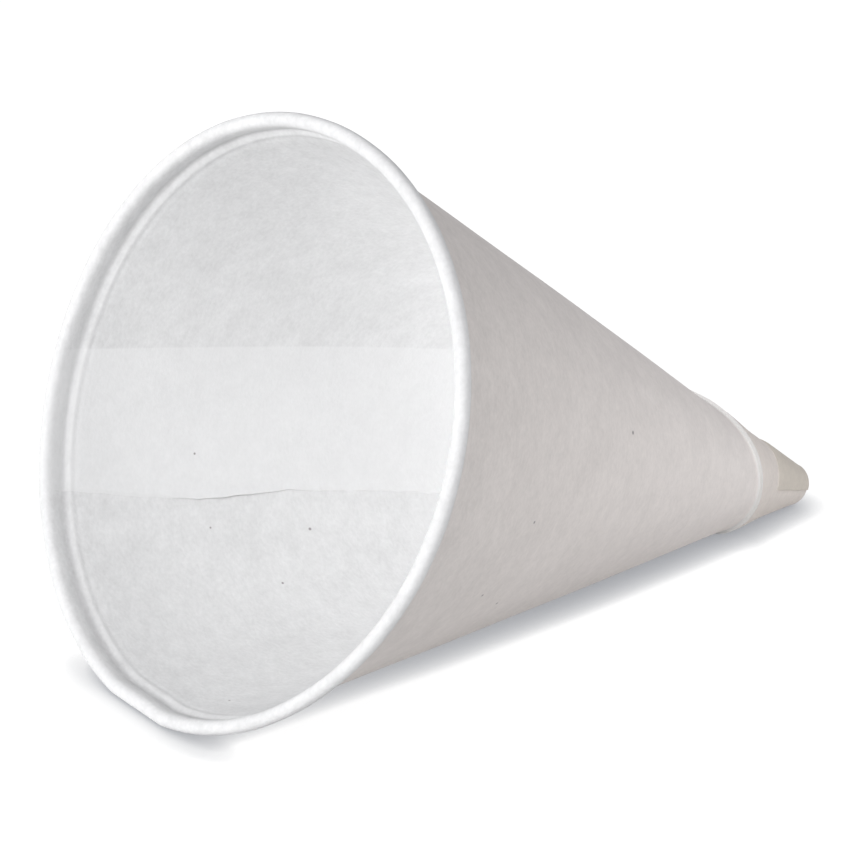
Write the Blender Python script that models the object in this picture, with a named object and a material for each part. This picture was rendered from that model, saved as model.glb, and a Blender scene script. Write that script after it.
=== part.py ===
"""Paper cone cup with a rolled rim: one sheet wound into a cone, glued and curled.

The cup lies on its side, with its mouth toward -X and its tip toward +X, and it
rests on its rim and its tip. Round its axis, 0 degrees is the side away from the
floor, 90 degrees is the +Y side and 180 degrees is the side that lies on the floor.

The wall is lofted between meridian sections, because no two of them are alike: the
sheet's inner edge runs straight to the tip, its outer edge sweeps round the cone,
and the mouth is a little out of round. A section is a chain of points (radius,
height above the apex) that starts at the tip, goes up the outside, round the
rolled rim, and down the inside to the tip again.
"""
from math import asin, atan2, cos, degrees, exp, pi, radians, sin

import bmesh
import bpy
import numpy as np

MM = 0.001

# Cone and paper
MOUTH_DIAMETER = 73.0 * MM      # over the rolled rim
CONE_HEIGHT = 95.4 * MM         # from the mouth to the point where the straight sides would meet
PAPER = 0.22 * MM               # one thickness of the sheet

# Out of round: a paper cone takes a slightly oval mouth
OVAL = 1.54 * MM                # what the long way across adds to the radius
OVAL_AT = 129.5                 # where the long way lies, degrees
LOBE = 0.385 * MM               # a smaller three-sided departure from the circle
LOBE_AT = 46.5                  # where one of its three high sides lies, degrees
FLAT_DEPTH = 0.35 * MM          # how far the side on the floor is pressed flat
FLAT_WITHIN = 60.0              # the flat lies nearer than this to the floor side, degrees

# Drawn in: the wound layers are pressed together toward the tip
DRAW_IN = 0.30 * MM             # how far the wall lies inside the straight cone at the tip
DRAW_FROM = 60.0 * MM           # where that begins, from the apex
DRAW_FULL = 10.0 * MM           # where it is complete

# Rolled rim
BEAD_DIAMETER = 1.8 * MM        # thickness of the roll
WALL_INSET = 0.43 * MM          # from the roll's centre in to the wall's outer face
CURL_TURN = 300.0               # how far the sheet is rolled, degrees
CURL_TUCK = 0.25 * MM           # how far the free edge is drawn in, toward the roll's centre

# Ring pressed into the wall just below the roll
GROOVE_BELOW = 1.85 * MM        # the groove's deepest line, below the roll's centre
GROOVE_DEPTH = 0.35 * MM
GROOVE_WIDTH = 0.5 * MM
RIDGE_BELOW = 2.8 * MM          # the ridge that borders the groove on the inside
RIDGE_HEIGHT = 0.12 * MM
RIDGE_WIDTH = 0.4 * MM
FLARE = 0.12 * MM               # the wall's lean outward where it reaches the groove

# Seam: the inner edge is a straight line to the apex, the outer edge passes the apex by
SEAM_AT = 122.4                 # where the inner edge lies, degrees
SEAM_RAMP = 4.0                 # the sheet climbs over its inner edge in this angle, degrees
LAP_EDGE = 20.2 * MM            # how far from the apex the outer edge passes
LAP_SKEW = 2.1                  # how much the outer edge turns away from the seam, degrees
LAP_LIFT = 0.30 * MM            # how far the outer edge stands off near the tip
LAP_LIFT_AT = -78.0             # middle of the stretch that stands off, degrees
LAP_LIFT_SPAN = 102.0           # how far to each side it does, degrees
LAP_LIFT_FADE = 35.0            # angle at each end in which it comes down, degrees
LAP_LIP = 7.0 * MM              # width of paper that stands off with the edge

# Last corner of the sheet, wound once more over the tip
CORNER_SLANT = 16.2 * MM        # length that it covers, from the apex
CORNER_END = -82.0              # where its end lies, degrees
CORNER_SPAN = 150.0             # how far it reaches back round the tip, degrees
CORNER_FADE = 40.0              # angle in which its far side sinks into the sheet, degrees

# Blunt tip
TIP_LAND = 7.3 * MM             # where the cone gives way to the round end, from the apex
TIP_ROUND = 1.45 * MM           # length of the round end
TIP_THICKNESS = 1.5 * MM        # crumpled paper in the very tip

# Fineness of the facets
STATIONS = 60                   # sections round the cup
STEP_ANGLE = 0.1                # angle taken by a paper edge that runs to the tip, degrees
RIM_ZONE = 3.9 * MM             # length of wall below the roll that carries the groove
RIM_ROWS = 11
CURL_ROWS = 14
TIP_ROWS = 3
WELD = 0.002 * MM               # points nearer than this become one
SHARP_FROM = 40.0               # edges turned more than this are shaded sharp, degrees
LEAN_HALVINGS = 60              # steps of the search for the lean at which the cup rests

# The wall's outer face is the line radius = height * tan(WALL_ANGLE)
BEAD_RADIUS = BEAD_DIAMETER / 2
BEAD_CENTRE = MOUTH_DIAMETER / 2 - BEAD_RADIUS
WALL_ANGLE = atan2(BEAD_CENTRE - WALL_INSET, CONE_HEIGHT)
CURL_RADIUS = BEAD_RADIUS - PAPER / 2
# The roll's centre seen along and across the wall
BEAD_SLANT = BEAD_CENTRE * sin(WALL_ANGLE) + CONE_HEIGHT * cos(WALL_ANGLE)
BEAD_STANDOFF = WALL_INSET * cos(WALL_ANGLE)
RIM_START = BEAD_SLANT - RIM_ZONE
# Degrees of turn round the axis for each degree on the unrolled sheet
TURN_PER_UNROLLED = 1.0 / sin(WALL_ANGLE)

PAPER_COLOUR = (0.80, 0.79, 0.77, 1.0)
PAPER_ROUGHNESS = 0.85


def smooth(x):
    """Rise from 0 to 1 with level ends."""
    x = min(1.0, max(0.0, x))
    return x * x * (3.0 - 2.0 * x)


def bell(x):
    return exp(-x * x)


def wound(angle):
    """Degrees from the seam to this place, the way that the sheet is wound."""
    return (SEAM_AT - angle) % 360.0


def apart(angle, other):
    """Smallest angle between two places, degrees."""
    return abs((angle - other + 180.0) % 360.0 - 180.0)


def free_round(angle):
    """Radius of the unpressed cone as a share of the mean radius."""
    a = radians(angle)
    swell = OVAL * cos(2 * (a - radians(OVAL_AT))) + LOBE * cos(3 * (a - radians(LOBE_AT)))
    return 1.0 + swell / (MOUTH_DIAMETER / 2)


LOWEST_REACH = max(free_round(a) * cos(radians(a - 180.0)) for a in np.arange(150.0, 210.0, 0.25))


def out_of_round(angle):
    """Radius as a share of the mean radius, with the side on the floor pressed flat."""
    share = free_round(angle)
    if apart(angle, 180.0) < FLAT_WITHIN:
        flat = LOWEST_REACH - FLAT_DEPTH / (MOUTH_DIAMETER / 2)
        share = min(share, flat / cos(radians(angle - 180.0)))
    return share


def on_wall(slant, lift):
    """A place at a distance from the apex along the wall's outer face, lifted off it."""
    lift -= DRAW_IN * smooth((DRAW_FROM - slant) / (DRAW_FROM - DRAW_FULL))
    return (slant * sin(WALL_ANGLE) + lift * cos(WALL_ANGLE), slant * cos(WALL_ANGLE) - lift * sin(WALL_ANGLE))


def lap_turn(slant):
    """Degrees from the seam at which the sheet's outer edge crosses this distance from the apex."""
    return (degrees(asin(LAP_EDGE / slant)) - LAP_SKEW) * TURN_PER_UNROLLED


RIM_LAP_TURN = lap_turn(RIM_START)
RIM_LAP_AT = SEAM_AT - RIM_LAP_TURN


def edge_slant(turn):
    """Distance from the apex to the outer edge, which is a straight line on the unrolled sheet."""
    return LAP_EDGE / sin(radians(turn / TURN_PER_UNROLLED + LAP_SKEW))


def lap_slant(angle):
    """Distance from the apex up to which the wall is two sheets thick, at this place."""
    turn = wound(angle)
    if turn >= RIM_LAP_TURN:
        return edge_slant(turn)
    far_end = edge_slant(360.0)
    return far_end + (RIM_START - far_end) * turn / RIM_LAP_TURN


def climb(angle):
    """How much of one thickness the sheet has climbed, just before it crosses its inner edge."""
    before = 360.0 - wound(angle)
    return smooth(1.0 - before / SEAM_RAMP)


def lapped(angle):
    return wound(angle) < RIM_LAP_TURN


def lap_lip(angle, slant):
    """How far the sheet stands off the cone here: most at its outer edge, where that sweeps round the tip."""
    at_edge = LAP_LIFT * smooth((LAP_LIFT_SPAN - apart(angle, LAP_LIFT_AT)) / LAP_LIFT_FADE)
    return at_edge * smooth(1.0 - (lap_slant(angle) - slant) / LAP_LIP)


def corner_lift(angle):
    """Thickness that the sheet's last corner adds at the tip."""
    back = (angle - CORNER_END) % 360.0
    return PAPER * min(1.0, max(0.0, (CORNER_SPAN - back) / CORNER_FADE))


def rim_offset(below):
    """Middle of the sheet, off the wall's outer face, at a distance below the roll's centre."""
    offset = -PAPER / 2 + FLARE * smooth(1.0 - (below - RIDGE_BELOW) / (RIM_ZONE - RIDGE_BELOW))
    offset += (GROOVE_DEPTH - FLARE) * bell((below - GROOVE_BELOW) / GROOVE_WIDTH)
    offset -= RIDGE_HEIGHT * bell((below - RIDGE_BELOW) / RIDGE_WIDTH)
    join = BEAD_STANDOFF - CURL_RADIUS
    into_roll = smooth(1.0 - below / GROOVE_BELOW)
    return offset + (join - offset) * into_roll


def rim_wall(side, lap):
    """The wall from the cone up to the roll: side is 1 outside and -1 inside."""
    points = []
    for k in range(RIM_ROWS + 1):
        below = RIM_ZONE * (1.0 - k / RIM_ROWS)
        fade = smooth((below - BEAD_RADIUS) / (GROOVE_BELOW - BEAD_RADIUS))
        lift = rim_offset(below) + side * PAPER / 2
        if side > 0:
            lift += lap * fade
        points.append(on_wall(BEAD_SLANT - below, lift))
    return points


def roll(side):
    """The rolled edge, from the top of the wall over the rim to the free edge."""
    points = []
    for k in range(1, CURL_ROWS + 1):
        turned = CURL_TURN * k / CURL_ROWS
        radius = CURL_RADIUS - CURL_TUCK * smooth((turned - 180.0) / (CURL_TURN - 180.0))
        radius -= side * PAPER / 2
        a = pi - WALL_ANGLE - radians(turned)
        points.append((BEAD_CENTRE + radius * cos(a), CONE_HEIGHT + radius * sin(a)))
    return points


def round_end(join, tip):
    """From the axis out to a place on the wall, as a quarter of an ellipse."""
    radius, height = join
    points = []
    for k in range(TIP_ROWS + 1):
        a = pi / 2 * k / TIP_ROWS
        points.append((radius * sin(a), height - (height - tip) * cos(a)))
    return points


def section(angle):
    """The chain of points at this place, from the outer tip over the rim to the inner tip."""
    climbed = PAPER * climb(angle)
    lap = PAPER if lapped(angle) else climbed
    corner = corner_lift(angle)
    slant = lap_slant(angle)

    tip = TIP_LAND - TIP_ROUND
    outer = round_end(on_wall(TIP_LAND / cos(WALL_ANGLE), PAPER + corner), tip)
    # The last corner's edge, then the sheet's outer edge: each is a step of one thickness
    lip = lap_lip(angle, CORNER_SLANT)
    outer.append(on_wall(CORNER_SLANT, PAPER + corner + lip))
    outer.append(on_wall(CORNER_SLANT, PAPER + lip))
    between = (CORNER_SLANT + slant) / 2
    outer.append(on_wall(between, PAPER + lap_lip(angle, between)))
    outer.append(on_wall(slant, PAPER + lap_lip(angle, slant)))
    outer.append(on_wall(slant, lap))
    outer.append(on_wall((slant + RIM_START) / 2, lap))
    outer += rim_wall(1, lap)
    outer += roll(1)

    inner_land = (TIP_LAND + TIP_THICKNESS) / cos(WALL_ANGLE)
    inner = round_end(on_wall(inner_land, climbed - PAPER), tip + TIP_THICKNESS)
    for place in ((inner_land + DRAW_FROM) / 2, DRAW_FROM):
        inner.append(on_wall(place, climbed - PAPER))
    for k, (r, h) in enumerate(rim_wall(-1, 0.0)):
        fade = 1.0 - smooth(k / RIM_ROWS)
        inner.append((r + climbed * fade * cos(WALL_ANGLE), h - climbed * fade * sin(WALL_ANGLE)))
    inner += roll(-1)

    chain = outer + inner[::-1]
    share = out_of_round(angle)
    return [(r * share, h) for r, h in chain]


def station_angles():
    """Even steps round the cup, and a close pair at each paper edge that runs to the tip."""
    edges = [SEAM_AT, RIM_LAP_AT, CORNER_END]
    step = 360.0 / STATIONS
    places = [k * step for k in range(STATIONS)]
    places = [a for a in places if all(apart(a, e) > step / 4 for e in edges)]
    for e in edges:
        places += [e - STEP_ANGLE / 2, e + STEP_ANGLE / 2]
    places += [SEAM_AT + SEAM_RAMP / 2, SEAM_AT + SEAM_RAMP]
    return sorted({round(a % 360.0, 6) for a in places})


def loft(angles):
    """A closed surface through the sections, welded where their points meet."""
    bm = bmesh.new()
    rings = []
    for angle in angles:
        a = radians(angle)
        rings.append([bm.verts.new((r * cos(a), r * sin(a), h)) for r, h in section(angle)])
    for ring, following in zip(rings, rings[1:] + rings[:1]):
        for i in range(len(ring) - 1):
            bm.faces.new((ring[i], following[i], following[i + 1], ring[i + 1]))
    bmesh.ops.remove_doubles(bm, verts=bm.verts, dist=WELD)
    bmesh.ops.recalc_face_normals(bm, faces=bm.faces)
    return bm


def rest_on_floor(obj, points):
    """Lean the cup so that rim and tip both touch the floor, and centre it over the origin."""
    rim = points[points[:, 2] > CONE_HEIGHT / 2]
    tip = points[points[:, 2] <= CONE_HEIGHT / 2]

    def lowest(part, lean):
        return (part[:, 0] * cos(lean) + part[:, 2] * sin(lean)).min()

    low, high = 0.0, pi / 2
    for _ in range(LEAN_HALVINGS):
        lean = (low + high) / 2
        if lowest(rim, lean) > lowest(tip, lean):
            high = lean
        else:
            low = lean
    turn = lean - pi / 2
    x = points[:, 0] * cos(turn) + points[:, 2] * sin(turn)
    z = -points[:, 0] * sin(turn) + points[:, 2] * cos(turn)
    y = points[:, 1]
    obj.rotation_euler = (0.0, turn, 0.0)
    obj.location = (-(x.min() + x.max()) / 2, -(y.min() + y.max()) / 2, -z.min())


def paper_material():
    mat = bpy.data.materials.new("White cup paper")
    mat.use_nodes = True
    shader = mat.node_tree.nodes["Principled BSDF"]
    shader.inputs["Base Color"].default_value = PAPER_COLOUR
    shader.inputs["Roughness"].default_value = PAPER_ROUGHNESS
    shader.inputs["Metallic"].default_value = 0.0
    return mat


def main():
    for obj in list(bpy.data.objects):
        bpy.data.objects.remove(obj, do_unlink=True)
    parts = bpy.data.collections.new("Paper cone cup")
    bpy.context.scene.collection.children.link(parts)

    bm = loft(station_angles())
    mesh = bpy.data.meshes.new("paper_cone")
    bm.to_mesh(mesh)
    bm.free()
    mesh.materials.append(paper_material())
    mesh.shade_smooth()
    mesh.set_sharp_from_angle(angle=radians(SHARP_FROM))

    cup = bpy.data.objects.new("paper_cone", mesh)
    parts.objects.link(cup)
    rest_on_floor(cup, np.array([v.co[:] for v in mesh.vertices]))


main()
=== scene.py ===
"""The looks of a paper cone cup, laid out as an add-on.

The sizes, the finish of the paper and the light are properties, operators make the cup and the
stage from them, and a panel in the 3D view lists them all. Finer values have names beside the
code that uses them.

The cup lies on its side with its mouth toward -X. Round its axis, angle 0 is the side away from
the floor, 90 degrees is the +Y side and 180 degrees is the side on the floor. A place on the wall
is given by its angle and its slant, which is its distance from the apex, the point where the
straight sides would meet. Lift is the distance off the first turn's outer face, outward.
"""
from math import asin, atan2, cos, pi, radians, sin

import bmesh
import bpy
import numpy as np
from bpy.props import FloatProperty, FloatVectorProperty, IntProperty, PointerProperty
from mathutils import Matrix, Vector


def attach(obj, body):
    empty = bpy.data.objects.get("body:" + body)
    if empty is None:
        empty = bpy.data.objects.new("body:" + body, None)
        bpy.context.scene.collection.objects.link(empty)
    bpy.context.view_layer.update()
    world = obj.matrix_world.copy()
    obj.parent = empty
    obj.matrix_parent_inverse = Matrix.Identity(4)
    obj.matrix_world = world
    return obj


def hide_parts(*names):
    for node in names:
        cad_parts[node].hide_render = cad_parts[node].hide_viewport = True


bl_info = {
    "name": "Paper Cone Cup",
    "version": (1, 0, 0),
    "blender": (4, 5, 0),
    "location": "View3D > Sidebar > Cone Cup",
    "description": "Makes a wound paper cone cup with a rolled rim, its paper and a plain stage",
    "category": "Add Mesh",
}

MM = 0.001
CAD_NODE = "paper_cone"
PIECE = "wound_paper_cup"

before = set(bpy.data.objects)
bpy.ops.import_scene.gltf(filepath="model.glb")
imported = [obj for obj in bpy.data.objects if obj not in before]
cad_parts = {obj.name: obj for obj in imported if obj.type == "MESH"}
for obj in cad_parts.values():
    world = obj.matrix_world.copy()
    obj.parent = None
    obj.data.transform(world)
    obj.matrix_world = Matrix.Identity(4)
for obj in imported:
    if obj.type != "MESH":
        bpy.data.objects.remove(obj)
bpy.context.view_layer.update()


def length(name, description, default, low=0.0, high=0.2):
    """A length in metres, shown with its unit."""
    return FloatProperty(name=name, description=description, default=default, min=low, max=high,
                         precision=5, unit="LENGTH")


def angle(name, description, degrees):
    """An angle, written in degrees and kept in radians."""
    return FloatProperty(name=name, description=description, default=radians(degrees),
                         subtype="ANGLE")


def share(name, description, default, high=1.0):
    """A plain number from 0 up."""
    return FloatProperty(name=name, description=description, default=default, min=0.0, max=high)


def colour(name, description, default):
    """A plain colour."""
    return FloatVectorProperty(name=name, description=description, default=default, size=3,
                               min=0.0, max=1.0, subtype="COLOR")


class ConeSizes(bpy.types.PropertyGroup):
    """The cone, its paper and how it lies."""
    mouth_diameter: length("Mouth", "Diameter over the rolled rim", 73.0 * MM)
    height: length("Height", "From the mouth to the apex of the straight sides", 95.4 * MM)
    paper: length("Paper", "One thickness of the sheet", 0.22 * MM)
    oval: length("Oval", "What the long way across adds to the radius", 1.54 * MM)
    oval_at: angle("Oval at", "Where the long way across lies", 129.5)
    lobe: length("Lobe", "A smaller three-sided departure from the circle", 0.385 * MM)
    lobe_at: angle("Lobe at", "Where one of the three high sides lies", 46.5)
    flat_depth: length("Flat", "How far the side on the floor is pressed flat", 0.35 * MM)
    flat_within: angle("Flat within", "The flat lies nearer than this to the floor side", 60.0)
    draw_in: length("Drawn in", "How far the wall lies inside the straight cone at the tip", 0.3 * MM)
    draw_from: length("Drawn from", "Slant where that begins", 60.0 * MM)
    draw_full: length("Drawn full", "Slant where it is complete", 10.0 * MM)
    apex: FloatVectorProperty(
        name="Apex", description="Where the straight sides would meet, in the row frame",
        default=(53.899 * MM, 0.309 * MM, -0.193 * MM), size=3, precision=5, subtype="TRANSLATION")
    axis_turn: angle("Axis turn", "Turn about Y that lays the upright cup on its side", -69.0162)


class RimSizes(bpy.types.PropertyGroup):
    """The rolled rim and the ring pressed into the wall below it."""
    bead_diameter: length("Roll", "Thickness of the roll", 1.8 * MM)
    wall_inset: length("Inset", "From the roll's centre in to the wall's outer face", 0.43 * MM)
    curl_turn: angle("Curl", "How far the sheet is rolled", 300.0)
    curl_tuck: length("Tuck", "How far the free edge is drawn in", 0.25 * MM)
    zone: length("Zone", "Length of wall below the roll that carries the ring", 3.9 * MM)
    groove_below: length("Groove at", "The groove's deepest line, below the roll", 1.85 * MM)
    groove_depth: length("Groove depth", "Depth of the groove", 0.35 * MM)
    groove_width: length("Groove width", "Half width of the groove", 0.5 * MM)
    ridge_below: length("Ridge at", "The ridge that borders the groove", 2.8 * MM)
    ridge_height: length("Ridge height", "Height of the ridge on the inside", 0.12 * MM)
    ridge_width: length("Ridge width", "Half width of the ridge", 0.4 * MM)
    flare: length("Flare", "The wall's lean outward where it reaches the groove", 0.12 * MM)
    wobble: length("Wobble", "How unevenly the roll was curled", 0.02 * MM)


class LapSizes(bpy.types.PropertyGroup):
    """The sheet's inner edge, the seam inside, and its outer edge, which sweeps round the tip."""
    seam_at: angle("Seam at", "Where the inner edge lies", 122.4)
    seam_ramp: angle("Climb", "The sheet climbs over its inner edge in this angle", 4.0)
    seam_lift: length("Seam lift", "How far the inner edge stands off beside its corner", 0.10 * MM)
    seam_lift_width: length("Seam lift width", "Width of paper that stands off", 3.0 * MM)
    seam_pocket: length("Pocket", "How deep the hairline gap runs under the inner edge", 0.3 * MM)
    seam_fray: length("Fray", "How rough the cut of the inner edge is", 0.07 * MM)
    seam_press: share("Seam press", "Share of its thickness that the glued edge keeps", 0.45)
    seam_open_at: length("Seam open at", "Slant of the middle of the stretch that stands open", 79.0 * MM)
    seam_open: length("Seam open", "Half length of that stretch", 5.5 * MM)
    seam_corner: length("Seam corner", "Height of the inner edge's blunt corner", 1.22 * MM)
    seam_corner_at: length("Seam corner at", "Slant of that corner", 83.2 * MM)
    seam_rimward: length("Rimward", "Length of the edge from the corner to the rim's side", 17.6 * MM)
    seam_tipward: length("Tipward", "Length of the edge from the corner to the tip's side", 12.5 * MM)
    edge: length("Outer edge", "How far from the apex the outer edge passes", 20.2 * MM)
    skew: angle("Skew", "How much the outer edge turns away from the seam", 2.1)
    lift: length("Lap lift", "How far the outer edge stands off near the tip", 0.3 * MM)
    lift_at: angle("Lift at", "Middle of the stretch that stands off", -78.0)
    lift_span: angle("Lift span", "How far to each side it does", 102.0)
    lift_fade: angle("Lift fade", "Angle at each end in which it comes down", 35.0)
    lip: length("Lip", "Width of paper that stands off at the outer edge", 7.0 * MM)
    fillet: length("Fillet", "Width of wall that rises to meet the outer edge", 0.5 * MM)
    fillet_height: length("Fillet height", "How far it rises there", 0.16 * MM)


class TipSizes(bpy.types.PropertyGroup):
    """The sheet's last corner, wound over the tip, and the blunt end."""
    corner_slant: length("Corner", "Length that the last corner covers", 16.2 * MM)
    corner_end: angle("Corner end", "Where the last corner ends", -82.0)
    corner_span: angle("Corner span", "How far it reaches back round the tip", 150.0)
    corner_fade: angle("Corner fade", "Angle in which its far side sinks in", 40.0)
    corner_press: length("Corner press", "Width over which its edge is pressed thin", 1.0 * MM)
    land: length("Land", "Where the cone gives way to the round end", 7.3 * MM)
    round: length("Round end", "Length of the round end", 1.45 * MM)
    thickness: length("Thickness", "Crumpled paper in the very tip", 1.5 * MM)


class SurfaceDetail(bpy.types.PropertyGroup):
    """The paper's own unevenness, and how finely the surface is divided."""
    cockle: length("Cockle", "Height of the paper's shallow waves", 0.03 * MM)
    waves: IntProperty(name="Waves", description="Number of waves added up", default=60, min=1)
    seed: IntProperty(name="Seed", description="Picks the pattern of the waves", default=7)
    columns: IntProperty(name="Columns", description="Steps round the cup", default=300, min=90)


class PaperFinish(bpy.types.PropertyGroup):
    """Colour and grain of the paper."""
    inside: colour("Inside", "Colour of the paper inside", (0.79, 0.79, 0.79))
    # the outside is the same sheet as the inside, given a darker, warmer colour that is painted shade in
    # part
    outside: colour("Outside", "Colour of the paper outside", (0.703, 0.663, 0.636))
    tip: colour("Tip", "Colour of the paper past the outer edge", (0.672, 0.622, 0.580))
    panel: colour("Corner panel", "Colour of the last corner, wound over the tip", (0.57, 0.525, 0.465))
    # painted highlight: the cut edge and the wall that rises to it are made paler, as where light catches
    # them
    cut: colour("Cut edge", "Colour of the cut edge", (0.86, 0.85, 0.83))
    speck: colour("Speck", "Colour of the small dark fibres", (0.30, 0.28, 0.28))
    # painted light: the paper is made paler toward the tip, inside and outside
    inside_painted_light: share("Inside rise", "How much paler the inside gets over 40 mm toward the tip", 0.28)
    outside_painted_light: share("Outside rise", "How much paler the outside gets over 40 mm", 0.20)
    # painted shade: the rolled rim is made darker, standing in for less light on it
    rolled: share("Rolled", "How much darker the rolled rim is", 0.20)
    single: share("Single sheet", "How much darker a single sheet is inside", 0.055)
    roughness: share("Roughness", "How dull the paper is", 0.9)
    cloud: share("Clouding", "Contrast of the cloudy thickness of the sheet", 0.08)
    grain: share("Grain", "Strength of the fibre relief", 0.3)


class StageSettings(bpy.types.PropertyGroup):
    """Floor, light and camera."""
    mouth: share("Mouth", "Power of the soft light before the mouth, in watts", 9.1, 200.0)
    left: share("Left", "Power of the one at the mouth's left, in watts", 1.6, 200.0)
    above: share("Above", "Power of the one above the cup's near side, in watts", 3.8, 200.0)
    right: share("Right", "Power of the one at the cup's near side, in watts", 1.9, 200.0)
    back: share("Back", "Power of the one on the far side, in watts", 3.0, 200.0)
    sky: share("Sky", "Strength of the even light from all round", 0.25, 10.0)
    light_size: length("Light size", "Side of each square light", 0.5, high=5.0)
    floor: share("Floor", "How much light the floor gives back", 0.8)
    # the floor's painted shadow: how far it reaches from the cup, and its darkest colour
    contact: length("Contact", "Reach of the dark line where the cup meets the floor", 3.4 * MM)
    shade: colour("Shade", "Colour of that line's darkest part", (0.30, 0.31, 0.335))
    lens: FloatProperty(name="Lens", description="Focal length on a 36 mm frame, in millimetres",
                        default=211.76, min=10.0)
    from_apex: FloatVectorProperty(
        name="Camera from apex", description="Where the camera stands, from the cup's apex",
        default=(-378.17 * MM, -423.21 * MM, 272.82 * MM), size=3, precision=5,
        subtype="TRANSLATION")
    toward_camera: FloatVectorProperty(
        name="Toward camera", description="Direction from the view's middle to the camera",
        default=(-0.5408, -0.7272, 0.4228), size=3, precision=4, subtype="DIRECTION")
    roll: angle("Roll", "How far the camera leans to its side", -0.154)


class ConeCupSettings(bpy.types.PropertyGroup):
    """Everything that the operators read."""
    cone: PointerProperty(type=ConeSizes)
    rim: PointerProperty(type=RimSizes)
    lap: PointerProperty(type=LapSizes)
    tip: PointerProperty(type=TipSizes)
    surface: PointerProperty(type=SurfaceDetail)
    paper: PointerProperty(type=PaperFinish)
    stage: PointerProperty(type=StageSettings)


def smooth(x):
    """Rise from 0 to 1 with level ends: three x squared less two x cubed, x kept from 0 to 1."""
    x = np.clip(x, 0.0, 1.0)
    return x * x * (3.0 - 2.0 * x)


def bell(x):
    """Hump of height 1: e to the power of minus x squared."""
    return np.exp(-x * x)


def apart(a, b):
    """Smallest angle between two directions round the axis."""
    return np.abs((a - b + pi) % (2 * pi) - pi)


def spread(count, first=0.0, last=1.0):
    """Even steps from first to last as a column, so that it crosses the row of angles."""
    return np.linspace(first, last, count)[:, None]


class CupForm:
    """The cup's surface, as formulas of the angle and the slant. All of them take whole arrays."""

    # directions on the floor's side, among which the lowest one is looked for
    LOW_SIDE = np.radians(np.arange(150.0, 210.0, 0.25))

    def __init__(self, cup):
        self.cone = cup.cone
        self.rim = cup.rim
        self.lap = cup.lap
        self.tip = cup.tip
        self.paper = cup.cone.paper
        self.mean_radius = cup.cone.mouth_diameter / 2
        self.bead_radius = cup.rim.bead_diameter / 2
        self.bead_centre = self.mean_radius - self.bead_radius
        self.half = atan2(self.bead_centre - cup.rim.wall_inset, cup.cone.height)
        self.curl_radius = self.bead_radius - self.paper / 2
        self.bead_slant = self.bead_centre * sin(self.half) + cup.cone.height * cos(self.half)
        self.bead_standoff = cup.rim.wall_inset * cos(self.half)
        self.rim_start = self.bead_slant - cup.rim.zone
        self.rim_lap_turn = (asin(cup.lap.edge / self.rim_start) - cup.lap.skew) / sin(self.half)
        self.lowest_reach = (self.free_round(self.LOW_SIDE) * -np.cos(self.LOW_SIDE)).max()

    def free_round(self, a):
        """Radius of the unpressed cone as a share of the mean radius: 1, plus a wave of two swells
        and a wave of three swells round the axis."""
        cone = self.cone
        swell = cone.oval * np.cos(2 * (a - cone.oval_at)) + cone.lobe * np.cos(3 * (a - cone.lobe_at))
        return 1.0 + swell / self.mean_radius

    def out_of_round(self, a):
        """The same share with the side on the floor pressed flat: there the radius is the flat's
        distance from the axis divided by the cosine of the angle from the floor side."""
        flat = self.lowest_reach - self.cone.flat_depth / self.mean_radius
        near = apart(a, pi) < self.cone.flat_within
        down = np.where(near, -np.cos(a), 1.0)
        return np.where(near, np.minimum(self.free_round(a), flat / down), self.free_round(a))

    def wound(self, a):
        """Angle from the seam to this place, the way that the sheet is wound."""
        return (self.lap.seam_at - a) % (2 * pi)

    def edge_slant(self, turn):
        """Slant of the outer edge, a straight line on the unrolled sheet: its distance from the
        apex divided by the sine of the unrolled angle, which is the turn times sin(half)."""
        return self.lap.edge / np.sin(turn * sin(self.half) + self.lap.skew)

    def lapped(self, a):
        """True where the wall is two sheets thick from the tip up to the rim."""
        return self.wound(a) < self.rim_lap_turn

    def lap_slant(self, a):
        """Slant up to which the wall is two sheets thick. Where it is so up to the rim, the row of
        points is parked on a line from the tip's side to the rim."""
        turn = self.wound(a)
        parked_from = self.edge_slant(2 * pi)
        parked = parked_from + (self.rim_start - parked_from) * turn / self.rim_lap_turn
        return np.where(self.lapped(a), parked, self.edge_slant(np.maximum(turn, self.rim_lap_turn)))

    def climb(self, a):
        """How much of one thickness the sheet has climbed, just before it crosses its inner edge."""
        return smooth(1.0 - (2 * pi - self.wound(a)) / self.lap.seam_ramp)

    def stand_off(self, a):
        """How far the outer edge stands off the cone: all of it round the middle of one stretch,
        and smoothly none beyond its ends."""
        lap = self.lap
        return lap.lift * smooth((lap.lift_span - apart(a, lap.lift_at)) / lap.lift_fade)

    def corner(self, a):
        """Thickness that the last corner adds at the tip: one sheet, fading at its far side."""
        back = (a - self.tip.corner_end) % (2 * pi)
        return self.paper * np.clip((self.tip.corner_span - back) / self.tip.corner_fade, 0.0, 1.0)

    def on_wall(self, slant, lift):
        """Radius and height of a place: along the slanted wall, which is drawn in smoothly toward
        the tip, then square off it by the lift."""
        cone = self.cone
        lift = lift - cone.draw_in * smooth((cone.draw_from - slant) / (cone.draw_from - cone.draw_full))
        return (slant * sin(self.half) + lift * cos(self.half),
                slant * cos(self.half) - lift * sin(self.half))

    def ring_offset(self, below):
        """Middle of the sheet at a distance below the roll: a flare, a groove and a ridge, which
        are two bell curves, and a smooth run into the roll."""
        rim = self.rim
        offset = -self.paper / 2 + rim.flare * smooth(1 - (below - rim.ridge_below)
                                                      / (rim.zone - rim.ridge_below))
        offset = offset + (rim.groove_depth - rim.flare) * bell((below - rim.groove_below)
                                                                / rim.groove_width)
        offset = offset - rim.ridge_height * bell((below - rim.ridge_below) / rim.ridge_width)
        join = self.bead_standoff - self.curl_radius
        return offset + (join - offset) * smooth(1.0 - below / rim.groove_below)


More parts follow.
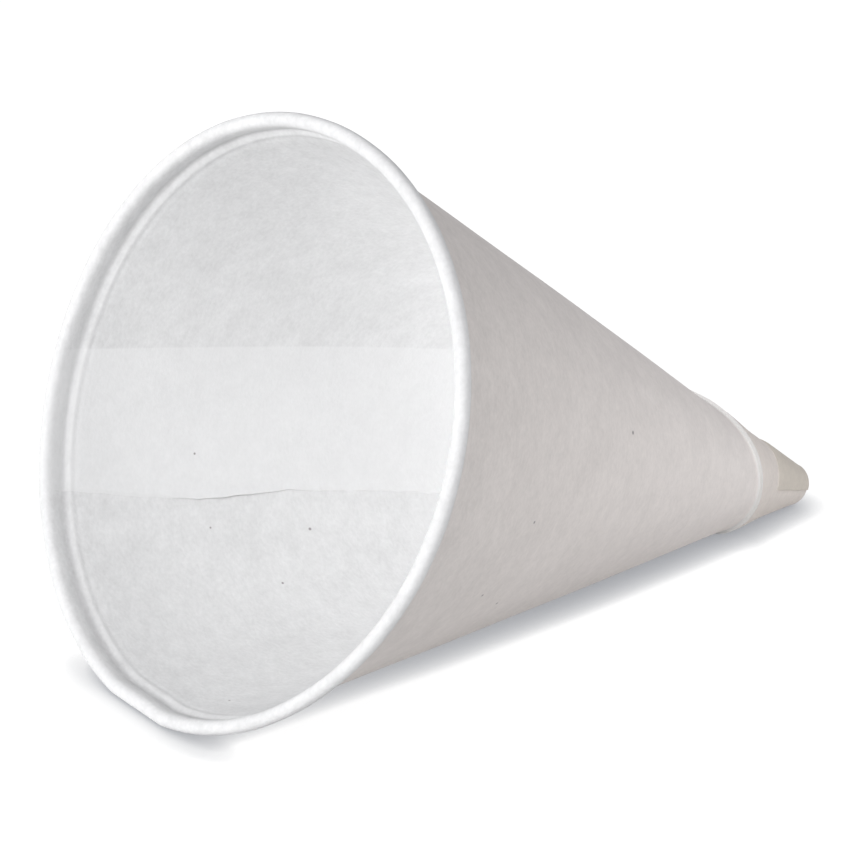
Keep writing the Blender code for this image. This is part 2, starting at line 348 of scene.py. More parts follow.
class PaperWaves:
    """Shallow waves of the sheet: a sum of waves, each with a whole number of crests round the
    cup and a wavelength along the slant, of heights that fall with their fineness."""

    FEWEST_CRESTS, CRESTS_BELOW = 2, 34
    COARSE_CRESTS = 6.0          # crests round the cup that count as a fineness of 1
    SHORTEST = 20.0 * MM         # shortest wavelength along the slant
    PLAIN_COUNT = 8.0            # number of waves at which their heights need no scaling

    def __init__(self, surface):
        pick = np.random.default_rng(surface.seed)
        self.crests = pick.integers(self.FEWEST_CRESTS, self.CRESTS_BELOW, surface.waves)
        self.along = pick.uniform(-1.0, 1.0, surface.waves) * 2 * pi / self.SHORTEST
        self.phase = pick.uniform(0.0, 2 * pi, surface.waves)
        fineness = np.hypot(self.crests / self.COARSE_CRESTS, self.along * self.SHORTEST / (2 * pi))
        self.height = 1.0 / (1.0 + fineness) / np.sqrt(surface.waves / self.PLAIN_COUNT)

    def at(self, a, slant):
        """Sum of the waves at arrays of angle and slant, about as high as 1."""
        total = np.zeros(np.broadcast_shapes(np.shape(a), np.shape(slant)))
        for crests, along, phase, height in zip(self.crests, self.along, self.phase, self.height):
            total += height * np.cos(crests * a + along * slant + phase)
        return total


class PaperCup:
    """The whole surface as rows of points over columns of angles: up the outside from the tip,
    over the outer edge's step, round the rolled rim, and down the inside to the tip again."""

    END_ROWS = 8
    CORNER_ROWS = 12
    BODY_ROWS = 26
    UPPER_ROWS = 40
    RING_ROWS = 22
    ROLL_ROWS = 26
    INNER_ROWS = 92
    # the four columns that draw the inner edge: its two corners, then the gap behind it
    SEAM_COLUMNS = np.array([-0.15, -0.05, 0.05, 0.15]) * pi / 180.0
    # shares of the pressed step's width at which its underside and the gap's end lie
    UNDER_AT, POCKET_AT = 0.6, 0.8
    SEAM_DRAG = radians(10.0)    # the wall follows the inner edge's shift within this angle
    LAP_MARK = radians(12.0)     # angle from the inner edge in which the wall is marked lapped
    CORNER_KEEPS = 0.25          # share of its thickness that the last corner keeps at its edge
    LEAST_CORNER = 0.08          # share of the blunt corner's height that is left beyond its cuts
    # the inner edge's slow bend toward the tip: how far, from which slant, over what length
    BEND, BEND_FROM, BEND_OVER = 0.5 * MM, 62.0 * MM, 14.0 * MM
    # how fine each sine of the frayed cut is, as slant for each radian, and its phase
    FRAY = ((0.9 * MM, 0.0), (0.53 * MM, 1.0), (2.1 * MM, 2.0))
    SHIFT_FADE = 2.0 * MM        # length below the roll in which the inner edge comes straight
    WAVES_FROM_APEX = 50.0 * MM  # slant from which the waves have their whole height
    WAVES_FADE = 6.0 * MM        # length below the roll in which they end
    UNEVEN_AFTER = 1.5           # radians of the roll after which it is fully uneven

    def __init__(self, cup):
        self.form = CupForm(cup)
        self.surface = cup.surface
        self.waves = PaperWaves(cup.surface)
        self.angles, self.seam = self.columns(cup)
        self.rim_wave = cup.rim.wobble * self.waves.at(self.angles, self.form.bead_slant)

    def columns(self, cup):
        """Even angles round the cup, with close ones at the paper edges that run to the tip, and
        the places among them of the four that draw the inner edge."""
        form = self.form
        step = 2 * pi / cup.surface.columns
        seam = cup.lap.seam_at + self.SEAM_COLUMNS
        rim_lap = cup.lap.seam_at - form.rim_lap_turn + self.SEAM_COLUMNS[1:3]
        corner = cup.tip.corner_end + self.SEAM_COLUMNS[1:3]
        even = np.arange(cup.surface.columns) * step
        for edge in (cup.lap.seam_at, rim_lap.mean(), cup.tip.corner_end):
            even = even[apart(even, edge) > step / 2]
        angles = np.concatenate([even, seam, rim_lap, corner]) % (2 * pi)
        order = np.argsort(angles)
        return angles[order], np.flatnonzero(np.isin(order, np.arange(len(even), len(even) + 4)))

    def block(self, place, turn=None, inner=0.0, cut=0.0, lap_side=0.0):
        """Rows of points, each with its radius, height and angle, and its marks: inner face, the cut
        edge and the wall that rises to it, which get a painted highlight, and the lapped side of the inner
        edge."""
        values = (*place, self.angles if turn is None else turn, inner, cut, lap_side)
        shape = np.broadcast_shapes(*(np.shape(v) for v in values), self.angles.shape)
        return np.stack([np.broadcast_to(v, shape) for v in values], -1)

    def round_end(self, join, tip):
        """A quarter of an ellipse from the axis out to the wall."""
        radius, height = join
        a = spread(self.END_ROWS + 1, 0.0, pi / 2)
        return radius * np.sin(a), height - (height - tip) * np.cos(a)

    def cockle(self, slant):
        """The sheet's waves, fading out toward the rim and the tip."""
        form = self.form
        fade = smooth(slant / self.WAVES_FROM_APEX)
        fade = fade * smooth((form.bead_slant - slant) / self.WAVES_FADE)
        return self.surface.cockle * self.waves.at(self.angles, slant) * fade

    def wall_lift(self, slant, side, added, reach):
        """Lift of one face of the wall: the middle of the sheet with the pressed ring, half a
        sheet to its side, the waves, and the added layers, which end within reach of the roll."""
        form = self.form
        below = form.bead_slant - slant
        layers = added * smooth((below - reach) / (form.rim.groove_below - reach))
        return form.ring_offset(below) + side * form.paper / 2 + layers + self.cockle(slant)

    def ring_slants(self):
        """Slants of the rows that carry the pressed ring, up to the roll."""
        return self.form.bead_slant - self.form.rim.zone * spread(self.RING_ROWS + 1, 1.0, 0.0)[1:]

    def outside(self):
        """The outer face from the tip to the roll. The paper stands off toward its outer edge, and
        the wall beyond rises a little to meet it."""
        form, a = self.form, self.angles
        paper, tip, lap = form.paper, form.tip, form.lap
        corner = form.corner(a)
        edge = form.lap_slant(a)
        lapped = form.lapped(a)

        def lip(slant):
            return form.stand_off(a) * smooth(1.0 - (edge - slant) / lap.lip)

        slant = tip.land / cos(form.half)
        yield self.block(self.round_end(form.on_wall(slant, paper + corner), tip.land - tip.round))
        slant = slant + (tip.corner_slant - slant) * (1 - (1 - spread(self.CORNER_ROWS)[1:]) ** 2)
        risen = smooth((tip.corner_slant - slant) / tip.corner_press)
        pressed = corner * (self.CORNER_KEEPS + (1.0 - self.CORNER_KEEPS) * risen)
        yield self.block(form.on_wall(slant, paper + pressed + lip(slant) + self.cockle(slant)))
        slant = tip.corner_slant + (edge - tip.corner_slant) * spread(self.BODY_ROWS)
        # the row at the outer edge is marked for the painted highlight of the cut edge
        cut = np.where(lapped, 0.0, slant >= edge)
        yield self.block(form.on_wall(slant, paper + lip(slant) + self.cockle(slant)), cut=cut)
        slant = edge + (form.rim_start - edge) * spread(self.UPPER_ROWS) ** 2
        slant = np.vstack([slant, np.broadcast_to(self.ring_slants(), (self.RING_ROWS, len(a)))])
        near_edge = np.where(lapped, 0.0, smooth(1.0 - (slant - edge) / lap.fillet))
        added = np.where(lapped, paper, paper * form.climb(a))
        lift = self.wall_lift(slant, 1, added, form.bead_radius) + lap.fillet_height * near_edge
        # near_edge raises the wall to the outer edge and also marks it for the painted highlight
        yield self.block(form.on_wall(slant, lift), cut=near_edge)

    def inside(self):
        """The inner face from the tip to the roll. The four seam columns make the inner edge: the
        sheet's face at its corner, its underside, the end of the hairline gap, and the floor."""
        form, a = self.form, self.angles
        paper, lap, tip = form.paper, form.lap, form.tip
        climbed = lap.seam_press * paper * form.climb(a)
        first = (tip.land + tip.thickness) / cos(form.half)
        yield self.block(self.round_end(form.on_wall(first, climbed - paper),
                                        tip.land - tip.round + tip.thickness), inner=1.0)
        slant = first + (form.rim_start - first) * spread(self.INNER_ROWS)[1:]
        slant = np.vstack([slant, self.ring_slants()])
        radius = slant * sin(form.half)
        kept = smooth((form.bead_slant - slant) / form.rim.groove_below)
        near = smooth(1.0 - np.abs(form.wound(a) * radius) / lap.seam_lift_width)
        gap = bell((slant[:, 0] - lap.seam_open_at) / lap.seam_open)
        step = lap.seam_press + (1.0 - lap.seam_press) * gap
        climbed = paper * form.climb(a) * step[:, None]
        lift = self.wall_lift(slant, -1, climbed, 0.0) - lap.seam_lift * gap[:, None] * near * kept
        turn = a + self.seam_shift(slant) * smooth(1.0 - apart(a, lap.seam_at) / self.SEAM_DRAG)
        top, under, pocket, floor = self.seam
        lift[:, under] = lift[:, top] + paper * step * kept[:, 0]
        lift[:, pocket] = lift[:, floor]
        pressed = (1.0 - gap) * (a[floor] - a[top])
        turn[:, under] = turn[:, top] + self.UNDER_AT * pressed
        pocket_depth = gap * lap.seam_pocket * kept[:, 0] / radius[:, 0]
        turn[:, pocket] = turn[:, top] + self.POCKET_AT * pressed - pocket_depth
        lap_side = (form.wound(a) < self.LAP_MARK) * 1.0
        yield self.block(form.on_wall(slant, lift), turn=turn, inner=1.0, lap_side=lap_side)

    def seam_shift(self, slant):
        """How far the inner edge strays, as an angle: a blunt corner between two straight cuts,
        the frayed cut's sum of sines, and a slow bend toward the tip, over the radius there."""
        lap = self.form.lap
        past = slant - lap.seam_corner_at
        away = np.where(past > 0, past / lap.seam_rimward, -past / lap.seam_tipward)
        corner = lap.seam_corner * np.clip(1.0 - away, self.LEAST_CORNER, 1.0)
        bend = self.BEND * smooth((self.BEND_FROM - slant) / self.BEND_OVER)
        fray = lap.seam_fray * sum(np.sin(slant / fine + phase) for fine, phase in self.FRAY) / 2.0
        at_rim = smooth((self.form.bead_slant - slant) / self.SHIFT_FADE)
        return (corner + bend + fray) * at_rim / (slant * sin(self.form.half))

    def roll(self, side):
        """The rolled edge: a circle's arc whose radius shrinks over its last part."""
        form = self.form
        turned = spread(self.ROLL_ROWS + 1, 0.0, form.rim.curl_turn)[1:]
        tucked = smooth((turned - pi) / (form.rim.curl_turn - pi))
        radius = form.curl_radius - form.rim.curl_tuck * tucked - side * form.paper / 2
        radius = radius + self.rim_wave * smooth(turned / self.UNEVEN_AFTER)
        a = pi - form.half - turned
        place = form.bead_centre + radius * np.cos(a), form.cone.height + radius * np.sin(a)
        return self.block(place, inner=0.5 - side / 2)

    def points(self):
        """All points in the cup's own frame, as an array of rows by columns by three, with their
        marks by name."""
        outer = np.concatenate([*self.outside(), self.roll(1)])
        inner = np.concatenate([*self.inside(), self.roll(-1)])
        rows = np.moveaxis(np.concatenate([outer, inner[::-1]]), -1, 0)
        radius, height, turn, *marks = rows
        radius = radius * self.form.out_of_round(turn)
        place = np.stack([radius * np.cos(turn), radius * np.sin(turn), height], -1)
        return place, dict(zip(("inner_face", "cut_edge", "lap_side"), marks))


def lay_down(points, cone):
    """Turn the upright cup about Y and set its apex in place. What would reach below the floor is
    pressed flat on it."""
    turn = cone.axis_turn
    x, y, z = points[..., 0], points[..., 1], points[..., 2]
    laid = np.stack([x * cos(turn) + z * sin(turn), y, z * cos(turn) - x * sin(turn)], -1)
    laid = laid + np.array(cone.apex)
    laid[..., 2] = np.maximum(laid[..., 2], 0.0)
    return laid


MERGE_WITHIN = 0.0005 * MM   # points nearer than this are one
CREASE = radians(50.0)       # edges bent more than this are shaded sharp


def grid_mesh(name, points, marks):
    """A mesh with a face between each four neighbours, closed round the columns. Rows that
    meet in one point at the tip are merged."""
    rows, columns = points.shape[:2]
    index = np.arange(rows * columns).reshape(rows, columns)
    beside = np.roll(index, -1, axis=1)
    faces = np.stack([index[:-1], beside[:-1], beside[1:], index[1:]], -1).reshape(-1, 4)
    mesh = bpy.data.meshes.new(name)
    mesh.from_pydata(points.reshape(-1, 3), [], faces)
    for title, values in marks.items():
        mark = mesh.attributes.new(title, "FLOAT", "POINT")
        mark.data.foreach_set("value", values.astype(np.float32).ravel())
    bm = bmesh.new()
    bm.from_mesh(mesh)
    bmesh.ops.remove_doubles(bm, verts=bm.verts, dist=MERGE_WITHIN)
    bmesh.ops.recalc_face_normals(bm, faces=bm.faces)
    bm.to_mesh(mesh)
    bm.free()
    mesh.shade_smooth()
    mesh.set_sharp_from_angle(angle=CREASE)
    return mesh


class NodeKit:
    """Short ways to add and join the nodes of one tree."""

    def __init__(self, tree):
        self.tree = tree

    def add(self, kind, inputs=None, **settings):
        """Add a node, set what it is told, and feed its inputs."""
        node = self.tree.nodes.new(kind)
        for key, value in settings.items():
            setattr(node, key, value)
        for key, value in (inputs or {}).items():
            self.feed(node.inputs[key], value)
        return node

    def feed(self, socket, value):
        """Join a socket to another one, or give it a plain value."""
        if isinstance(value, bpy.types.NodeSocket):
            self.tree.links.new(value, socket)
        else:
            socket.default_value = value

    def math(self, operation, *values):
        """One sum on plain values."""
        node = self.add("ShaderNodeMath", operation=operation)
        for socket, value in zip(node.inputs, values):
            self.feed(socket, value)
        return node.outputs[0]

    def ramp(self, value, low, high, to_low=0.0, to_high=1.0):
        """Map a value from one range to another, smoothly and without going past the ends."""
        node = self.add("ShaderNodeMapRange", {0: value, 1: low, 2: high, 3: to_low, 4: to_high},
                        interpolation_type="SMOOTHSTEP")
        return node.outputs[0]

    def mix(self, factor, first, second):
        """A colour between two, by a factor from 0 to 1."""
        node = self.add("ShaderNodeMix", data_type="RGBA")
        for key, value in ((0, factor), (6, first), (7, second)):
            self.feed(node.inputs[key], value)
        return node.outputs[2]


def new_group(name, inputs, outputs):
    """An empty shader node group with named sockets, its node kit, and its two end nodes."""
    group = bpy.data.node_groups.new(name, "ShaderNodeTree")
    for title, kind in inputs:
        group.interface.new_socket(name=title, in_out="INPUT", socket_type=kind)
    for title, kind in outputs:
        group.interface.new_socket(name=title, in_out="OUTPUT", socket_type=kind)
    kit = NodeKit(group)
    return group, kit, kit.add("NodeGroupInput"), kit.add("NodeGroupOutput")


# the size, detail and weight of the soft blotches, the finer mottling and the short fibres
CLOUDS = ((9.0 * MM, 2.0, 0.30), (2.4 * MM, 3.0, 0.55), (0.6 * MM, 3.0, 0.45))
CLOUD_ROUGHNESS = 0.6
CLOUD_GAIN = 4.0
MOTTLING_RELIEF = 0.4        # how much of the mottling's tone is relief too


def clouding_group():
    """Cloudy thickness of the sheet: soft blotches, finer mottling and short fibres, each a noise
    of its own size, added up round 0. Height is the relief of the finer two."""
    group, kit, given, result = new_group(
        "Paper clouding",
        [("Position", "NodeSocketVector")],
        [("Tone", "NodeSocketFloat"), ("Height", "NodeSocketFloat")])
    tones = []
    for size, detail, weight in CLOUDS:
        noise = kit.add("ShaderNodeTexNoise", {"Vector": given.outputs["Position"],
                                               "Scale": 1.0 / size, "Detail": detail,
                                               "Roughness": CLOUD_ROUGHNESS})
        centred = kit.math("SUBTRACT", noise.outputs[0], 0.5)
        tones.append(kit.math("MULTIPLY", centred, weight * CLOUD_GAIN))
    tone = kit.math("ADD", kit.math("ADD", tones[0], tones[1]), tones[2])
    height = kit.math("ADD", kit.math("MULTIPLY", tones[1], MOTTLING_RELIEF), tones[2])
    kit.feed(result.inputs["Tone"], tone)
    kit.feed(result.inputs["Height"], height)
    return group


EDGE_BLUR = 0.15 * MM        # half width in which the colour changes at the outer edge
CORNER_BLUR = 0.1 * MM       # and at the last corner's edge


def place_group(form):
    """Where a point lies on the sheet. The position is turned into the cup's own frame; the angle
    is the arc tangent of its two sides, and the slant is its distance from the apex. Lapped is 1
    where the slant times the sine of the unrolled angle is less than the outer edge's distance."""
    cone, lap = form.cone, form.lap
    group, kit, given, result = new_group(
        "Place on the sheet",
        [("Position", "NodeSocketVector")],
        [("Own", "NodeSocketVector"), ("Angle", "NodeSocketFloat"), ("Slant", "NodeSocketFloat"),
         ("Lapped", "NodeSocketFloat"), ("Corner", "NodeSocketFloat")])
    own = kit.add("ShaderNodeMapping", {"Vector": given.outputs[0], "Location": cone.apex,
                                        "Rotation": (0.0, cone.axis_turn, 0.0)},
                  vector_type="TEXTURE")
    sides = kit.add("ShaderNodeSeparateXYZ", {0: own.outputs[0]}).outputs
    turned = kit.math("ARCTAN2", sides[1], sides[0])
    slant = kit.add("ShaderNodeVectorMath", {0: own.outputs[0]}, operation="LENGTH").outputs[1]
    wound = kit.math("FLOORED_MODULO", kit.math("SUBTRACT", lap.seam_at, turned), 2 * pi)
    unrolled = kit.math("MULTIPLY_ADD", wound, sin(form.half), lap.skew)
    across = kit.math("MULTIPLY", slant, kit.math("SINE", unrolled))
    straight = kit.ramp(across, lap.edge + EDGE_BLUR, lap.edge - EDGE_BLUR)
    near_tip = kit.ramp(slant, lap.edge + EDGE_BLUR, lap.edge - EDGE_BLUR)
    back = kit.math("FLOORED_MODULO", kit.math("SUBTRACT", turned, form.tip.corner_end), 2 * pi)
    in_angle = kit.ramp(back, form.tip.corner_span, form.tip.corner_span - form.tip.corner_fade)
    in_slant = kit.ramp(slant, form.tip.corner_slant + CORNER_BLUR, form.tip.corner_slant - CORNER_BLUR)
    kit.feed(result.inputs["Own"], own.outputs[0])
    kit.feed(result.inputs["Angle"], turned)
    kit.feed(result.inputs["Slant"], slant)
    kit.feed(result.inputs["Lapped"], kit.math("MAXIMUM", straight, near_tip))
    kit.feed(result.inputs["Corner"], kit.math("MULTIPLY", in_angle, in_slant))
    return group


def specks_group(name, form, specks):
    """Small dark fibres at chosen places: a spot round each, where its distance along the slant
    and its distance round the cup, combined as the sides of a right triangle, stay under a
    radius."""
    group, kit, given, result = new_group(
        name, [("Angle", "NodeSocketFloat"), ("Slant", "NodeSocketFloat")],
        [("Mask", "NodeSocketFloat")])
    total = 0.0
    for slant, degrees, radius in specks:
        along = kit.math("SUBTRACT", given.outputs["Slant"], slant * MM)
        turned = kit.math("SUBTRACT", given.outputs["Angle"], radians(degrees))
        beside = kit.math("MULTIPLY", turned, slant * MM * sin(form.half))
        squares = kit.math("ADD", kit.math("MULTIPLY", along, along),
                           kit.math("MULTIPLY", beside, beside))
        spot = kit.ramp(squares, (radius * MM) ** 2, 0.0)
        total = kit.math("MAXIMUM", spot, total)
    kit.feed(result.inputs["Mask"], total)
    return group


def rgba(value):
    """A colour with nothing let through."""
    return (*value, 1.0)


class PaperShader:
    """White uncoated paper: its colour by side, the outside's darker tone being painted shade in part,
    by the number of sheets and by clouding, with specks and fibre relief, painted light toward the tip,
    painted shade on the rolled rim and a painted highlight on the cut edge. Every value that changes
    over the surface feeds Base Color or Bump."""

    # slant in millimetres, angle in degrees, radius in millimetres
    INSIDE_SPECKS = ((70.1, 133.8, 0.24), (75.7, 148.9, 0.2), (84.0, 114.0, 0.18), (94.4, -173.2, 0.2),
                     (82.6, 131.6, 0.16))
    OUTSIDE_SPECKS = ((58.5, -63.4, 0.3), (78.7, -89.7, 0.25), (81.0, -110.4, 0.24),
                      (74.7, -117.4, 0.24))
    GRAIN_STRETCH = (1.0, 1.0, 1.5)
    # the next three set the painted light that makes the paper paler toward the tip
    PAINTED_LIGHT_SPAN = 40.0 * MM        # length of slant over which the colour rises by its share
    PAINTED_LIGHT_ZERO = 75.0 * MM        # slant where the colour is as written
    MOST_PAINTED_LIGHT = 0.24
    RIM_BLUR = 1.0 * MM          # length of slant in which the tone changes to the rim's
    CALM = 0.5                   # how much less two sheets are clouded than one
    TIP_TONE_FROM, TIP_TONE_FULL = 45.0 * MM, 30.0 * MM
    SPECULAR = 0.25
    RELIEF = 0.05 * MM           # height of the fibre relief

    def __init__(self, cup):
        self.form, self.paper = CupForm(cup), cup.paper
        self.material = bpy.data.materials.new("White wound paper")
        self.material.use_nodes = True
        self.kit = NodeKit(self.material.node_tree)
        kit = self.kit
        position = kit.add("ShaderNodeTexCoord").outputs["Object"]
        self.place = self.group(place_group(self.form), Position=position)
        stretched = kit.add("ShaderNodeVectorMath", {0: self.place["Own"], 1: self.GRAIN_STRETCH},
                            operation="MULTIPLY").outputs[0]
        self.cloud = self.group(clouding_group(), Position=stretched)
        self.inner = kit.add("ShaderNodeAttribute", attribute_name="inner_face").outputs["Fac"]
        self.outer = kit.math("SUBTRACT", 1.0, self.inner)
        # the cut edge mark says where the painted highlight goes
        self.cut = kit.add("ShaderNodeAttribute", attribute_name="cut_edge").outputs["Fac"]
        lap_side = kit.add("ShaderNodeAttribute", attribute_name="lap_side").outputs["Fac"]
        self.double = kit.math("MAXIMUM", self.place["Lapped"], lap_side)

    def group(self, tree, **inputs):
        """Add a node group to the material and give back its outputs."""
        return self.kit.add("ShaderNodeGroup", inputs, node_tree=tree).outputs

    def specks(self):
        """Where the specks of the two faces are."""
        sheet = {"Angle": self.place["Angle"], "Slant": self.place["Slant"]}
        inside = self.group(specks_group("Inside specks", self.form, self.INSIDE_SPECKS), **sheet)
        outside = self.group(specks_group("Outside specks", self.form, self.OUTSIDE_SPECKS), **sheet)
        return self.kit.math("ADD", self.kit.math("MULTIPLY", inside[0], self.inner),
                             self.kit.math("MULTIPLY", outside[0], self.outer))

    def level(self):
        """How much paler or darker than its plain colour the paper is. It rises evenly toward the
        tip, which is painted light, stops at the rim, is lower inside where there is a single sheet, and is
        clouded, less so where two sheets lie on each other. The rolled rim is lower too, which is painted
        shade."""
        kit, paper, place = self.kit, self.paper, self.place
        # painted light, paler toward the tip
        painted_light_toward_tip = kit.math("MULTIPLY_ADD", place["Slant"], -1.0 / self.PAINTED_LIGHT_SPAN,
                              self.PAINTED_LIGHT_ZERO / self.PAINTED_LIGHT_SPAN)
        rim = self.form.bead_slant
        kept = kit.ramp(place["Slant"], rim, rim - self.RIM_BLUR)
        painted_light_share = kit.math("MULTIPLY_ADD", self.inner, paper.inside_painted_light - paper.outside_painted_light,
                        paper.outside_painted_light)
        climb = kit.math("MULTIPLY", kit.math("MULTIPLY", painted_light_toward_tip, kept), painted_light_share)
        climb = kit.math("MINIMUM", climb, self.MOST_PAINTED_LIGHT)
        single = kit.math("MULTIPLY", kit.math("SUBTRACT", 1.0, self.double), self.inner)
        single = kit.math("MULTIPLY", kit.math("MULTIPLY", single, kept), paper.single)
        calm = kit.math("MULTIPLY_ADD", kit.math("MULTIPLY", self.double, self.inner), -self.CALM, 1.0)
        clouds = kit.math("MULTIPLY", kit.math("MULTIPLY", self.cloud["Tone"], calm), paper.cloud)
        # the last term is the rolled rim's painted shade
        level = kit.math("ADD", kit.math("ADD", climb, clouds),
                         kit.math("MULTIPLY_ADD", kept, paper.rolled, 1.0 - paper.rolled))
        return kit.math("SUBTRACT", level, single)

    def make(self):
        """The finished material."""
        kit, paper, place = self.kit, self.paper, self.place
        shader = self.material.node_tree.nodes["Principled BSDF"]
        # the darker outside colour is painted shade in part
        base = kit.mix(self.inner, rgba(paper.outside), rgba(paper.inside))
        lapped_tip = kit.math("MULTIPLY", place["Lapped"], self.outer)
        near_tip = kit.ramp(place["Slant"], self.TIP_TONE_FROM, self.TIP_TONE_FULL)
        base = kit.mix(kit.math("MULTIPLY", lapped_tip, near_tip), base, rgba(paper.tip))
        base = kit.mix(kit.math("MULTIPLY", place["Corner"], self.outer), base, rgba(paper.panel))
        toned = kit.add("ShaderNodeVectorMath", {0: base, 1: self.level()}, operation="MULTIPLY").outputs[0]
        # painted highlight: the cut edge and the wall rising to it are made paler
        toned = kit.mix(self.cut, toned, rgba(paper.cut))
        toned = kit.mix(self.specks(), toned, rgba(paper.speck))
        kit.feed(shader.inputs["Base Color"], toned)
        shader.inputs["Roughness"].default_value = paper.roughness
        shader.inputs["Specular IOR Level"].default_value = self.SPECULAR
        bump = kit.add("ShaderNodeBump", {"Strength": paper.grain, "Distance": self.RELIEF,
                                          "Height": self.cloud["Height"]})
        kit.feed(shader.inputs["Normal"], bump.outputs[0])
        return self.material


class CONECUP_OT_cup(bpy.types.Operator):
    """Make the wound paper cup with its rolled rim, its seam and its paper"""
    bl_idname = "cone_cup.make_cup"
    bl_label = "Make Cup"

    def execute(self, context):
        cup = context.scene.cone_cup
        points, marks = PaperCup(cup).points()
        mesh = grid_mesh(PIECE, lay_down(points, cup.cone), marks)
        mesh.materials.append(PaperShader(cup).make())
        piece = bpy.data.objects.new(PIECE, mesh)
        context.scene.collection.objects.link(piece)
        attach(piece, "root")
        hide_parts(CAD_NODE)
        return {"FINISHED"}


def soft_light(name, place, aim, size, power):
    """A square area light at a place, turned to face a point."""
    data = bpy.data.lights.new(name, "AREA")
    data.energy = power
    data.size = size
    light = bpy.data.objects.new(name, data)
    bpy.context.scene.collection.objects.link(light)
    light.location = place
    light.rotation_euler = (Vector(aim) - Vector(place)).to_track_quat("-Z", "Y").to_euler()
    return light


FLOOR_ROUGHNESS = 0.9
FLOOR_SEEN = (0.12, 0.12, 0.12)    # what the camera sees of the light on the floor
FLOOR_GLOW = (0.95, 0.95, 0.95)
CONTACT_DARK, CONTACT_FREE = 0.3, 0.88   # openness at which the shade is full, and none


def floor_material(stage):
    """A pale floor that keeps the object's shadow, adds a painted shadow round the cup, and is white
    to the camera. Camera rays see a glow that darkens where the cup is near, which is the painted
    shadow, and a little of the light that falls there; all other rays see a plain pale floor."""
    material = bpy.data.materials.new("Pale floor")
    material.use_nodes = True
    kit = NodeKit(material.node_tree)
    shader = material.node_tree.nodes["Principled BSDF"]
    shader.inputs["Roughness"].default_value = FLOOR_ROUGHNESS
    shader.inputs["Specular IOR Level"].default_value = 0.0
    seen = kit.add("ShaderNodeLightPath").outputs["Is Camera Ray"]
    base = kit.mix(seen, rgba((stage.floor,) * 3), rgba(FLOOR_SEEN))
    kit.feed(shader.inputs["Base Color"], base)
    # painted shadow: occlusion near the cup darkens the floor's glow toward the shade colour
    near = kit.add("ShaderNodeAmbientOcclusion", {"Distance": stage.contact}, samples=2)
    free = kit.ramp(near.outputs["AO"], CONTACT_DARK, CONTACT_FREE)
    glow = kit.mix(free, rgba(stage.shade), rgba(FLOOR_GLOW))
    kit.feed(shader.inputs["Emission Color"], kit.mix(seen, rgba((0.0,) * 3), glow))
    shader.inputs["Emission Strength"].default_value = 1.0
    return material


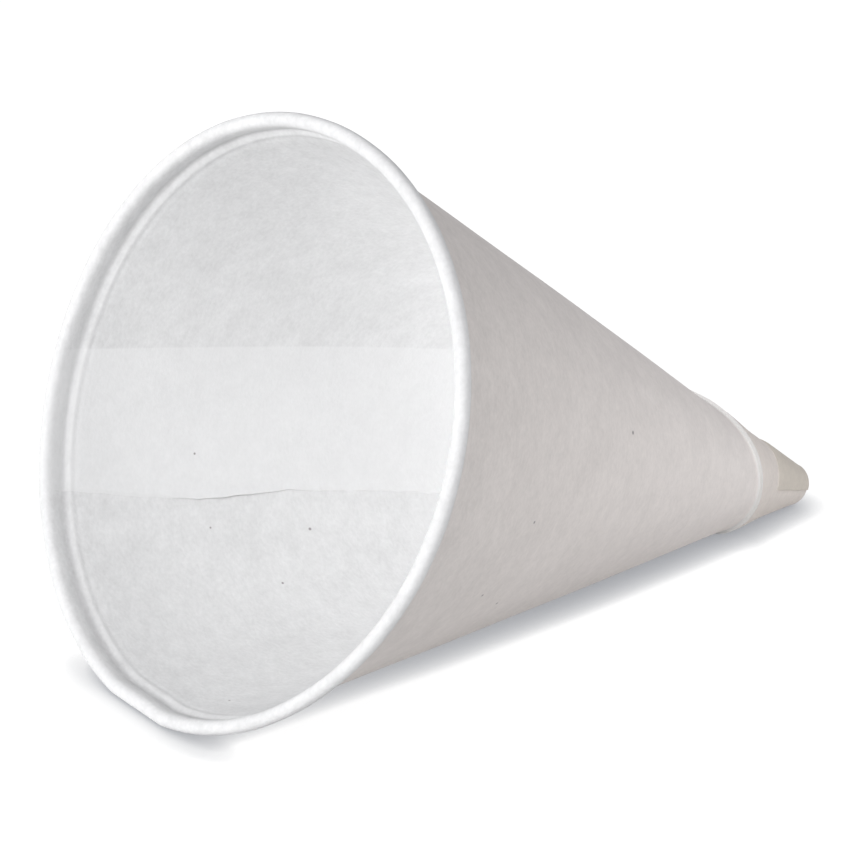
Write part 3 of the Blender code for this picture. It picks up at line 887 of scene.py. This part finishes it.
class CONECUP_OT_stage(bpy.types.Operator):
    """Make the pale floor, the soft studio light and the camera"""
    bl_idname = "cone_cup.make_stage"
    bl_label = "Make Stage"
    LIGHTS = {"mouth": (-0.98, 0.08, 0.33), "left": (-0.70, 0.65, 0.30),
              "above": (-0.20, -0.65, 0.75), "right": (0.15, -0.90, 0.40), "back": (0.35, 0.90, 0.35)}
    AIM = (0.0, 0.0, 0.03)
    SKY_COLOUR = (0.92, 0.93, 1.0)
    FLOOR_SIDE = 3.0             # from the middle of the floor to its sides
    FRAME_WIDTH = 36.0           # of the camera, in millimetres

    def execute(self, context):
        cup, scene = context.scene.cone_cup, context.scene
        stage = cup.stage
        scene.view_settings.view_transform = "Standard"
        self.make_floor(scene, stage)
        self.make_lights(scene, stage)
        self.make_camera(scene, stage, Vector(cup.cone.apex))
        return {"FINISHED"}

    def make_floor(self, scene, stage):
        mesh = bpy.data.meshes.new("floor")
        side = self.FLOOR_SIDE
        corners = [(-side, -side, 0.0), (side, -side, 0.0), (side, side, 0.0), (-side, side, 0.0)]
        mesh.from_pydata(corners, [], [(0, 1, 2, 3)])
        mesh.materials.append(floor_material(stage))
        floor = bpy.data.objects.new("floor", mesh)
        scene.collection.objects.link(floor)

    def make_lights(self, scene, stage):
        world = bpy.data.worlds.new("White surroundings")
        scene.world = world
        world.use_nodes = True
        kit = NodeKit(world.node_tree)
        background = world.node_tree.nodes["Background"]
        seen = kit.add("ShaderNodeLightPath").outputs["Is Camera Ray"]
        kit.feed(background.inputs["Color"], kit.mix(seen, rgba(self.SKY_COLOUR), rgba((1.0,) * 3)))
        kit.feed(background.inputs["Strength"], kit.ramp(seen, 0.0, 1.0, stage.sky, 1.0))
        for name, place in self.LIGHTS.items():
            soft_light(name, place, self.AIM, stage.light_size, getattr(stage, name))

    def make_camera(self, scene, stage, apex):
        data = bpy.data.cameras.new("camera")
        data.sensor_width = self.FRAME_WIDTH
        data.lens = stage.lens
        camera = bpy.data.objects.new("camera", data)
        scene.collection.objects.link(camera)
        back = Vector(stage.toward_camera).normalized()
        right = Vector((0.0, 0.0, 1.0)).cross(back).normalized()
        turned = Matrix((right, back.cross(right), back)).transposed().to_4x4()
        turned = turned @ Matrix.Rotation(stage.roll, 4, "Z")
        camera.matrix_world = Matrix.Translation(apex + Vector(stage.from_apex)) @ turned
        scene.camera = camera


class CONECUP_PT_panel(bpy.types.Panel):
    """Lists the cup's settings and the two operators"""
    bl_idname = "CONECUP_PT_panel"
    bl_label = "Paper Cone Cup"
    bl_space_type = "VIEW_3D"
    bl_region_type = "UI"
    bl_category = "Cone Cup"

    def draw(self, context):
        cup = context.scene.cone_cup
        for title in ("cone", "rim", "lap", "tip", "surface", "paper", "stage"):
            group = getattr(cup, title)
            box = self.layout.box()
            box.label(text=title.capitalize())
            for name in group.__annotations__:
                box.prop(group, name)
        self.layout.operator(CONECUP_OT_cup.bl_idname)
        self.layout.operator(CONECUP_OT_stage.bl_idname)


CLASSES = (ConeSizes, RimSizes, LapSizes, TipSizes, SurfaceDetail, PaperFinish, StageSettings,
           ConeCupSettings, CONECUP_OT_cup, CONECUP_OT_stage, CONECUP_PT_panel)


def register():
    for item in CLASSES:
        bpy.utils.register_class(item)
    bpy.types.Scene.cone_cup = PointerProperty(type=ConeCupSettings)


def unregister():
    del bpy.types.Scene.cone_cup
    for item in reversed(CLASSES):
        bpy.utils.unregister_class(item)


def main():
    register()
    bpy.ops.cone_cup.make_cup()
    bpy.ops.cone_cup.make_stage()


if __name__ == "__main__":
    main()
